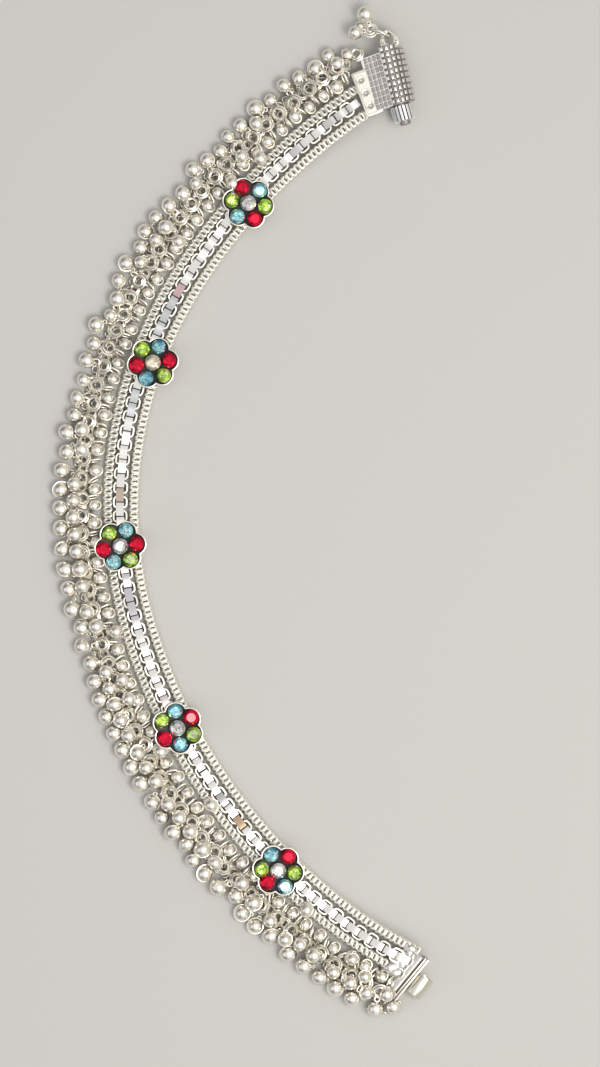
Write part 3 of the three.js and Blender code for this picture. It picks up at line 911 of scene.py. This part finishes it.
def band_end(along):
    """The frame of a clasp part at a distance along the band, from millimetres to metres."""
    x, y, heading = band_at(along)
    return Matrix.Scale(MM, 4) @ set_down(x, y, 0.0, math.degrees(heading))


def sharp_block(size):
    """A block about the origin, open in edit mode."""
    piece = new_piece(bpy.ops.mesh.primitive_cube_add, size=1.0)
    work_on(piece)
    bpy.ops.transform.resize(value=size)
    return piece


def block(size, edge, segments=2):
    """A block about the origin with rounded edges."""
    piece = sharp_block(size)
    add_modifier(piece, "BEVEL", width=edge, segments=segments)
    return piece


def rosette(size):
    """A six-lobed flower in low relief with a sunk middle."""
    flower = disc(48)
    for v in flower.data.vertices:
        v.co *= scallop(math.atan2(v.co.y, v.co.x)) * size / (LOBE_CENTRE + LOBE_RADIUS)
    work_on(flower)
    build_up(*ROSETTE_STEPS)
    face_outward()
    return flower


clasp_silver = silver(
    "clasp_silver", (0.87, 0.84, 0.77), (0.72, 0.69, 0.62), 0.32, 0.6, grain=1800.0
)
# Dark silver: a dark ring on the rosettes and the screw's button, and painted shade in the screw's
# flutes and on the cover.
dark_silver_and_shade = silver("dark_silver_and_shade", (0.52, 0.5, 0.48), (0.28, 0.26, 0.25), 0.4, 0.6, grain=1800.0)
clasp_frame = band_end(CLASP_AT)
plate = block(PLATE_SIZE, 0.14)
top = PLATE_SIZE[2] / 2
work_on(plate, "FACE", lambda face: face.normal.z > 0.99 and face.center.z > top * 0.99)
bpy.ops.mesh.inset(thickness=PLATE_RIM)
bpy.ops.mesh.inset(thickness=PLATE_STEP, depth=-PLATE_SINK)
let_go()
rosettes = []
for k in (-1, 0, 1):
    flower = rosette(ROSETTE_RADIUS)
    flower.data.transform(shift(0.35, ROSETTE_PITCH * k, top - ROSETTE_SINK))
    rosettes.append(flower)
plate = join("clasp_plate", [plate, *rosettes])
smooth(plate, 35.0)
sunk = [
    face.index for face in plate.data.polygons
    if abs(face.center.z - top + ROSETTE_DARK) < 0.01 and face.normal.z > 0.9
]
plate.data.transform(clasp_frame @ set_down(*PLATE_SPOT, PLATE_LEAN))
fit(plate, "clasp_silver", clasp_silver, "clasp_barrel")
paint(plate, dark_silver_and_shade, sunk)

# ---- Barrel knuckles, wall and eye ----
# Two short tubes take the screw, with room between them for the tongue's loop. A wall ties
# them to the plate, and a cast eye with small studs round it carries the charm at the outer end.

BARREL_SPOT, BARREL_LEAN = (-9.18, -4.8), -17.6
BARREL_HALF, BARREL_AXIS = 6.55, 3.4
KNUCKLE_RADIUS, BORE, KNUCKLE_EDGE = 3.2, 1.65, 0.16
KNUCKLES = ((-BARREL_HALF, -3.15), (2.95, BARREL_HALF))
EYE_SPOT, EYE_HALF, EYE_THICK = (-1.55, -9.3, 4.0), (2.3, 2.6), 1.4
EYE_WALL, EYE_HOLE_SHIFT, EYE_FLARE = 1.35, -0.15, 0.14
STUD_RING, STUD_SIZE, STUD_UP = (1.62, 1.9), (0.7, 0.7, 0.6), 0.65
STUD_ANGLES = (-20, 10, 40, 130, 160, 190, 220, 250)
barrel_frame = clasp_frame @ set_down(*BARREL_SPOT, 0.0, BARREL_LEAN)


def pipe(sides, radius, wall, length, edge):
    """A short tube along y with rounded rims."""
    tube = new_piece(
        bpy.ops.mesh.primitive_cylinder_add, vertices=sides, radius=radius, depth=length,
        end_fill_type="NOTHING",
    )
    add_modifier(tube, "SOLIDIFY", thickness=wall, offset=-1.0)
    soften(tube, edge)
    tube.data.transform(swing(90, "X"))
    return tube


barrel_parts = []
for start, end in KNUCKLES:
    tube = pipe(40, KNUCKLE_RADIUS, KNUCKLE_RADIUS - BORE, end - start, KNUCKLE_EDGE)
    tube.data.transform(shift(0.0, (start + end) / 2, BARREL_AXIS))
    barrel_parts.append(tube)
wall = block((3.4, BARREL_HALF * 2 - 0.5, 2.2), 0.2)
wall.data.transform(shift(4.0, 0.0, 2.7) @ swing(12, "Y"))
barrel_parts.append(wall)

eye = disc(36)
work_on(eye)
bpy.ops.transform.resize(value=(*EYE_HALF, 1.0))
bpy.ops.mesh.inset(thickness=EYE_WALL)
bpy.ops.transform.translate(value=(0.0, EYE_HOLE_SHIFT, 0.0))
bpy.ops.mesh.delete(type="FACE")
let_go()
for v in eye.data.vertices:
    v.co.x *= 1.0 + EYE_FLARE * v.co.y
add_modifier(eye, "SOLIDIFY", thickness=EYE_THICK, offset=0.0)
soften(eye, 0.35, segments=3)
eye_parts = [eye]
for degrees in STUD_ANGLES:
    x = STUD_RING[0] * math.cos(math.radians(degrees))
    y = STUD_RING[1] * math.sin(math.radians(degrees))
    stud = block(STUD_SIZE, 0.2, segments=1)
    stud.data.transform(set_down(x * (1.0 + EYE_FLARE * y), y, STUD_UP, degrees))
    eye_parts.append(stud)
eye = join("eye", eye_parts)
eye.data.transform(Matrix.Translation(EYE_SPOT))
barrel_parts.append(eye)
barrel = join("clasp_knuckles", barrel_parts)
smooth(barrel, 40.0)
barrel.data.transform(barrel_frame)
fit(barrel, "clasp_silver", clasp_silver, "clasp_barrel")

# ---- Dotted cover sheet ----
# Thin sheet pressed into rows of small pyramids and bent from the plate up over the knuckles
# and down their far side, wider toward the outer end, where a strap of it covers the eye's root.
# Beside the plate its lattice is bright and its dots carry painted shade. Past the crest the
# lattice is dark with painted shade.

COVER_ROWS, COVER_COLUMNS = 9, 11
DOTS_HALF, STRAP_FROM, STRAP_TO = (0.46, 0.49), 3.0, 8.4
DOT_STEPS = ((0.007, 0.0), (0.012, 0.78), (0.017, 0.22))
DOT_HEIGHT, COVER_THICK = 0.4, 0.4
LIT_SIDE_FROM, LATTICE_HEIGHT = 0.12, 0.01
COVER_FROM, COVER_SWEEP = math.radians(50), math.radians(140)
COVER_INNER, COVER_OUTER = (3.5, 3.4), (4.3, 2.6)
COVER_REACH = (6.3, 3.85)


def cover_point(across, y, height):
    """A point of the bent sheet: across runs from 0 at the plate to 1 at the far edge."""
    t = y / (BARREL_HALF * 2) + 0.5
    radius = COVER_OUTER[0] + (COVER_INNER[0] - COVER_OUTER[0]) * t
    centre = COVER_OUTER[1] + (COVER_INNER[1] - COVER_OUTER[1]) * t
    corner = Vector((radius * math.cos(COVER_FROM), centre + radius * math.sin(COVER_FROM)))
    slope = corner - Vector(COVER_REACH)
    run = across * (slope.length + radius * COVER_SWEEP)
    if run < slope.length:
        spot = Vector(COVER_REACH) + slope * (run / slope.length)
        face = Vector((slope.y, -slope.x)).normalized()
    else:
        angle = COVER_FROM + (run - slope.length) / radius
        face = Vector((math.cos(angle), math.sin(angle)))
        spot = Vector((0.0, centre)) + face * radius
    spot += face * height
    return Vector((spot.x, y, spot.y))


def on_strap(co):
    """True at the sheet's outer end, in the columns that run on as the strap."""
    column = (DOTS_HALF[0] - co.x) / DOTS_HALF[0] / 2 * COVER_COLUMNS
    return co.y < -DOTS_HALF[1] + 0.001 and STRAP_FROM <= column <= STRAP_TO


def open_edges(piece):
    """The edges of a piece that belong to one face only."""
    let_go()
    uses = Counter(key for face in piece.data.polygons for key in face.edge_keys)
    return {key for key in uses if uses[key] == 1}


cover = new_piece(
    bpy.ops.mesh.primitive_grid_add, x_subdivisions=COVER_COLUMNS, y_subdivisions=COVER_ROWS,
    size=2.0,
)
work_on(cover)
bpy.ops.transform.resize(value=(*DOTS_HALF, 1.0))
work_on(cover, "EDGE", both_ends(cover, on_strap))
draw_out(0.0, -2 * DOTS_HALF[1] / COVER_ROWS, 0.0)
bpy.ops.mesh.select_all(action="SELECT")
for inset, rise in DOT_STEPS:
    bpy.ops.mesh.inset(thickness=inset, depth=rise, use_individual=True)
for way in (-1.0, 1.0):
    work_on(cover, "EDGE", both_ends(cover, lambda co: co.x * way > DOTS_HALF[0] - 0.0001))
    draw_out(way * (0.5 - DOTS_HALF[0]), 0.0, 0.0)
for way in (-1.0, 1.0):
    border = open_edges(cover)
    at_end = both_ends(cover, lambda co: abs(co.y * way - DOTS_HALF[1]) < 0.0001)
    work_on(cover, "EDGE", lambda edge: edge.key in border and at_end(edge))
    draw_out(0.0, way * (0.5 - DOTS_HALF[1]), 0.0)
let_go()
# Painted shade: the dots beside the plate and the lattice past the crest are painted darker than
# the bright lattice and dots.
shaded_lands, shaded_dots = [], []
for face in cover.data.polygons:
    bright = face.center.x >= LIT_SIDE_FROM
    raised = min(cover.data.vertices[v].co.z for v in face.vertices) >= LATTICE_HEIGHT
    if raised == bright:
        (shaded_dots if bright else shaded_lands).append(face.index)
for v in cover.data.vertices:
    v.co = cover_point(0.5 - v.co.x, v.co.y * BARREL_HALF * 2, v.co.z * DOT_HEIGHT)
work_on(cover)
face_outward()
if sum(face.normal.z * face.area for face in cover.data.polygons) < 0:
    cover.data.flip_normals()
add_modifier(cover, "SOLIDIFY", thickness=COVER_THICK, offset=-1.0, use_even_offset=False)
cover.name = "clasp_cover"
smooth(cover, 30.0)
cover.data.transform(barrel_frame)
cover_silver = silver(
    "cover_silver", (0.96, 0.93, 0.89), (0.84, 0.81, 0.77), 0.26, 0.5, grain=1800.0
)
shaded_dot_silver = silver("shaded_dot_silver", (0.66, 0.62, 0.57), (0.42, 0.4, 0.37), 0.36, 0.6, grain=1800.0)
fit(cover, "clasp_silver", cover_silver, "clasp_barrel")
paint(cover, dark_silver_and_shade, shaded_lands)
paint(cover, shaded_dot_silver, shaded_dots)

# ---- Clasp screw ----
# A turned pin with a fluted head, dark with oxide and painted shade in its flutes, and a plain dark
# button. Its shank, ringed like a thread, runs in both knuckles and takes the tongue's loop between
# them when the anklet is closed. It draws out past the inner knuckle.

SCREW_HEAD, SCREW_GROOVE, SCREW_SHANK, SCREW_RIBS = 2.6, 2.3, 1.3, 18
HEAD_START, HEAD_LENGTH, HEAD_EDGE, BUTTON_LENGTH = 6.85, 3.7, 0.12, 0.9
THREAD_STEPS, THREAD_DEPTH = 40, 0.14


def turned(sides, radius, steps):
    """A turned part about z: from a disc at z = 0, each step raises its end and scales it."""
    part = disc(sides, radius)
    work_on(part)
    build_up(*steps)
    face_outward()
    return part


head = turned(SCREW_RIBS * 6, SCREW_HEAD, (
    (HEAD_EDGE, 1.03), (HEAD_LENGTH - 2 * HEAD_EDGE, 1.0), (HEAD_EDGE, 0.96),
))
for k, v in enumerate(head.data.vertices):
    if k % 6 == 0:
        v.co.xy *= SCREW_GROOVE / SCREW_HEAD
# The flute walls and the button are painted dark: in the flutes as oxide and painted shade.
dark = [
    face.index for face in head.data.polygons
    if abs(face.normal.z) < 0.5 and any(v % 6 == 0 for v in face.vertices)
]
button = turned(32, SCREW_SHANK, (
    (0.9 * BUTTON_LENGTH, 1.0), (0.1 * BUTTON_LENGTH, 0.86), (-0.12, 0.6),
))
button.data.transform(shift(0.0, 0.0, HEAD_LENGTH))
dark += [len(head.data.polygons) + k for k in range(len(button.data.polygons))]
ring_length = (BARREL_HALF * 2 - 0.5) / THREAD_STEPS
root = 1.0 - THREAD_DEPTH / SCREW_SHANK
shank = turned(24, SCREW_SHANK, [(ring_length, 1.0)] + [
    (ring_length, root if k % 2 else 1.0 / root) for k in range(1, THREAD_STEPS)
])
shank.data.transform(swing(180, "X"))
screw = join("clasp_screw_turned", [head, button, shank])
smooth(screw, 22.0)
on_axis = shift(0.0, HEAD_START, BARREL_AXIS) @ swing(-90, "X")
screw.data.transform(barrel_frame @ on_axis)
screw_silver = silver(
    "screw_silver", (0.93, 0.94, 0.96), (0.84, 0.85, 0.87), 0.55, 0.4, grain=1800.0
)
fit(screw, "clasp_silver", screw_silver, "clasp_screw", body="screw")
paint(screw, dark_silver_and_shade, dark)

# ---- Charm ----
# An upright wire link through the eye carries a two-turn coil, and three hollow balls hang on
# the coil by their shanks.

LINK_SPOT, LINK_HEADING, LINK_RADIUS = (0.0, -11.31, 4.0), -39.4, 2.0
CHARM_COIL_SPOT, CHARM_COIL_LEAN = (2.06, -12.7, 4.2), (0.15, -0.1, 0.4)

link = wire_ring(radius=LINK_RADIUS, straight=0.4, wire=0.42, around=28, sides=8)
stand = swing(LINK_HEADING, "Z") @ swing(90, "X")
link.data.transform(barrel_frame @ Matrix.Translation(LINK_SPOT) @ stand)
link.name = "charm_wire_link"
smooth(link, 80.0)
fit(link, "ball_silver", ball_silver, "charm_link")

charm_coil = wire_coil(2.2, radius=1.2, wire=0.28, rise=1.0, spread=1.2, around=22, sides=8)
lean = Euler(CHARM_COIL_LEAN).to_matrix().to_4x4()
charm_coil.data.transform(barrel_frame @ Matrix.Translation(CHARM_COIL_SPOT) @ lean)
charm_coil.name = "charm_coil"
fit(charm_coil, "ball_silver", chain_silver, "charm_ring")

coil_heart = barrel_frame @ Vector(CHARM_COIL_SPOT)
for k in (1, 2, 3):
    low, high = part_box(f"charm_ball_{k}")
    heart, radius = (low + high) / 2, (high.z - low.z) / 2 / MM
    ball = hollow_ball(radius, 0.09, 0.05, around=24, rings=14)
    hang = (coil_heart - heart).to_track_quat("Z", "Y").to_matrix().to_4x4()
    ball.data.transform(Matrix.Translation(heart) @ hang @ Matrix.Scale(MM, 4))
    ball.name = f"charm_hollow_ball_{k}"
    fit(ball, "ball_silver", ball_silver, f"charm_ball_{k}")

# ---- Tongue ----
# The chains' other ends are run together with solder under a sloping cap with a rounded edge.
# An end plate of three leaves stands across them, and a rolled strip loop on it goes between
# the knuckles.

TONGUE_AT, TONGUE_LEAN = 266.4, -13.0
CAP_SIZE, CAP_BOTTOM, CAP_DROP, CAP_EDGE = (2.6, 11.0, 2.8), 1.2, 0.9, 1.5
END_PLATE_SPOT, END_PLATE_LENGTH, END_PLATE_HEIGHT, END_PLATE_BOTTOM = (1.56, -8.16), 12.6, 4.8, 0.3
LEAVES = (
    {"x": -0.4, "thick": 0.26, "lower": 0.0},
    {"x": -0.1, "thick": 0.4, "lower": 0.6},
    {"x": 0.28, "thick": 0.5, "lower": 0.0},
)
SOLDER_ROWS = (
    {"out": 1.45, "size": 1.3},
    {"out": 3.0, "size": 1.0},
    {"out": 4.6, "size": 1.3},
    {"out": 6.2, "size": 1.1},
    {"out": 7.75, "size": 1.35},
    {"out": 9.0, "size": 1.1},
    {"out": 10.6, "size": 1.0},
)
CATCH_OFFSET, CATCH_RADIUS, CATCH_WALL, CATCH_WIDTH, CATCH_AXIS = 2.55, 2.3, 0.55, 5.3, 2.7

tongue_frame = band_end(TONGUE_AT)
at_plate = set_down(*END_PLATE_SPOT, 0.0, TONGUE_LEAN)
cap_reach, _, cap_height = CAP_SIZE
cap = sharp_block(CAP_SIZE)
bpy.ops.transform.translate(value=(-cap_reach / 2, 0.0, CAP_BOTTOM + cap_height / 2))
raised = CAP_BOTTOM + 0.1
work_on(cap, "EDGE", both_ends(cap, lambda co: co.x < -cap_reach * 0.9 and co.z > raised))
bpy.ops.transform.translate(value=(0.0, 0.0, -CAP_DROP))
work_on(cap, "EDGE", both_ends(cap, lambda co: co.x > -0.1 and co.z > raised))
bpy.ops.mesh.bevel(offset=CAP_EDGE, segments=4, affect="EDGES")
let_go()
cap.data.transform(at_plate @ shift(-0.2, 0.3, 0.0))
lumps = [cap]
run = random.Random(3)
for row in SOLDER_ROWS:
    for k in range(4):
        lump = sphere(row["size"] * run.uniform(0.85, 1.25), 16, 10)
        x = -0.5 - 0.75 * k + run.gauss(0, 0.2) - 0.2 * row["out"]
        y = -row["out"] + run.gauss(0, 0.3)
        lump.data.transform(shift(x, y, 2.75 - 0.1 * k))
        lumps.append(lump)
cap = join("solder_cap", lumps)
add_modifier(cap, "REMESH", mode="VOXEL", voxel_size=0.17)
add_modifier(cap, "SMOOTH", factor=0.6, iterations=9)
smooth(cap, 80.0)
cap.data.transform(tongue_frame)
solder_silver = silver(
    "solder_silver", (0.88, 0.86, 0.82), (0.66, 0.64, 0.6), 0.3, 0.8, grain=800.0, relief=0.8
)
fit(cap, "clasp_silver", solder_silver, "clasp_tongue")

leaves = []
for row in LEAVES:
    lower = row["lower"]
    leaf = block((row["thick"], END_PLATE_LENGTH - lower, END_PLATE_HEIGHT - lower), 0.07)
    middle = END_PLATE_BOTTOM + END_PLATE_HEIGHT / 2 - lower / 2
    leaf.data.transform(shift(row["x"], 0.0, middle))
    leaves.append(leaf)
end_plate = join("tongue_end_plate", leaves)
smooth(end_plate, 35.0)
end_plate.data.transform(tongue_frame @ at_plate)
fit(end_plate, "clasp_silver", clasp_silver, "clasp_tongue")

catch = pipe(48, CATCH_RADIUS, CATCH_WALL, CATCH_WIDTH, 0.12)
catch.name = "tongue_loop"
smooth(catch, 40.0)
catch_place = tongue_frame @ at_plate @ shift(CATCH_OFFSET, 0.1, CATCH_AXIS)
catch.data.transform(catch_place)
catch_silver = silver("catch_silver", (0.86, 0.84, 0.74), (0.72, 0.7, 0.6), 0.2, 0.6, relief=0.04)
fit(catch, "clasp_silver", catch_silver, "clasp_tongue")

# ---- Table, light and camera ----
# A plain pale table under the camera. Soft light comes from the room's ceiling, from a large
# bright window on one side and a weaker one opposite, and a small soft lamp is the key light.

table = new_piece(bpy.ops.mesh.primitive_plane_add, size=3.0, location=(0.0, 0.0, -0.00004))
table.name = "table"
table_finish, _, table_shader = new_finish("pale_table")
table_shader.inputs["Base Color"].default_value = (0.57, 0.565, 0.55, 1.0)
table_shader.inputs["Roughness"].default_value = 0.9
table.data.materials.append(table_finish)

world = bpy.data.worlds.new("room")
bpy.context.scene.world = world
world.use_nodes = True
room = world.node_tree
toward = add_node(room, "SeparateXYZ", {"Vector": add_node(room, "TexCoord").outputs["Generated"]})


def fade(axis, dark, light):
    """Light that comes up between two places along one axis of the room."""
    values = {"Value": toward.outputs[axis], "From Min": dark, "From Max": light}
    ramp = add_node(room, "MapRange", values, interpolation_type="SMOOTHSTEP")
    return ramp.outputs["Result"]


def times(one, two):
    """The product of two fades."""
    return add_node(room, "Math", {0: one, 1: two}, operation="MULTIPLY").outputs["Value"]


walls = mixed(room, fade("X", -0.65, 0.2), (0.1, 0.1, 0.13), (0.66, 0.64, 0.59))
ceiling = mixed(room, fade("Z", 0.45, 0.94), walls, (0.88, 0.87, 0.85))
across = times(fade("X", -0.08, 0.06), fade("X", 0.7, 0.5))
down = times(fade("Y", 0.22, 0.0), fade("Y", -0.7, -0.5))
window = times(times(across, down), fade("Z", 0.0, 0.2))
side = times(times(fade("X", -0.52, -0.72), fade("Y", 0.35, 0.1)), fade("Y", -0.65, -0.45))
side_window = times(side, times(fade("Z", 0.2, 0.4), fade("Z", 0.85, 0.65)))
with_window = mixed(room, window, ceiling, (2.3, 2.25, 2.15))
room_light = mixed(room, side_window, with_window, (1.15, 1.15, 1.2))
room.links.new(room_light, room.nodes["Background"].inputs["Color"])
room.nodes["Background"].inputs["Strength"].default_value = 0.9

key_spot = Vector((0.22, -0.10, 0.55))
bpy.ops.object.light_add(type="AREA", location=key_spot)
lamp = bpy.context.object
lamp.name = "key_lamp"
lamp.data.size = 0.22
lamp.data.energy = 1.2
lamp.data.color = (1.0, 0.97, 0.92)
lamp.rotation_euler = (-key_spot).to_track_quat("-Z", "Y").to_euler()

bpy.ops.object.camera_add(location=(0.0133, -0.0051, 0.90), rotation=(0.0, 0.0, 0.0))
camera = bpy.context.object
camera.data.sensor_width = 36.0
camera.data.lens = 126.0
camera.data.clip_start = 0.01
bpy.context.scene.camera = camera
bpy.context.scene.view_settings.view_transform = "Standard"
